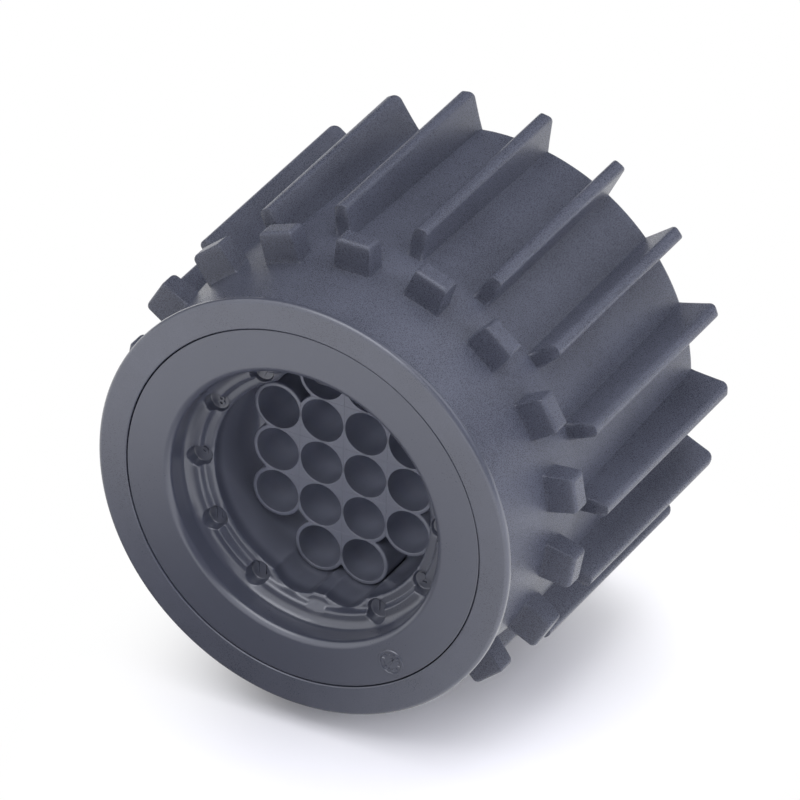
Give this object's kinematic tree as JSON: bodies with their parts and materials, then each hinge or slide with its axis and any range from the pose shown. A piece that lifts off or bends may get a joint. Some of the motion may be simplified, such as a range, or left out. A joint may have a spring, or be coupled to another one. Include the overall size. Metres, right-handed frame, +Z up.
{
  "type": "automotive connector",
  "caption": "Round sealed connector plug with a ribbed turning coupling ring, a recessed wire entry and a block of round contact cavities.",
  "frame": {"origin": "on the floor under the middle of the part, which lies on two of its grip ribs", "axes": "+Z up, the connector's axis along Y, the wire face towards -Y and the mating end towards +Y"},
  "size_m": [0.0588, 0.047, 0.058],
  "materials": {
    "ring_plastic": "moulded charcoal plastic, fine grain",
    "housing_plastic": "moulded charcoal plastic, satin",
    "seal_silicone": "oiled silicone, matte",
    "lock_plastic": "natural moulded plastic"
  },
  "bodies": {
    "housing": {"contact_housing": "housing_plastic", "interface_seal": "seal_silicone", "contact_lock": "lock_plastic"},
    "ring": {"coupling_ring": "ring_plastic"}
  },
  "joints": [
    {"name": "ring_turn", "type": "hinge", "parent": "housing", "child": "ring", "pos_m": [0, 0, 0.02902], "axis": [0, 1, 0], "continuous": true}
  ]
}
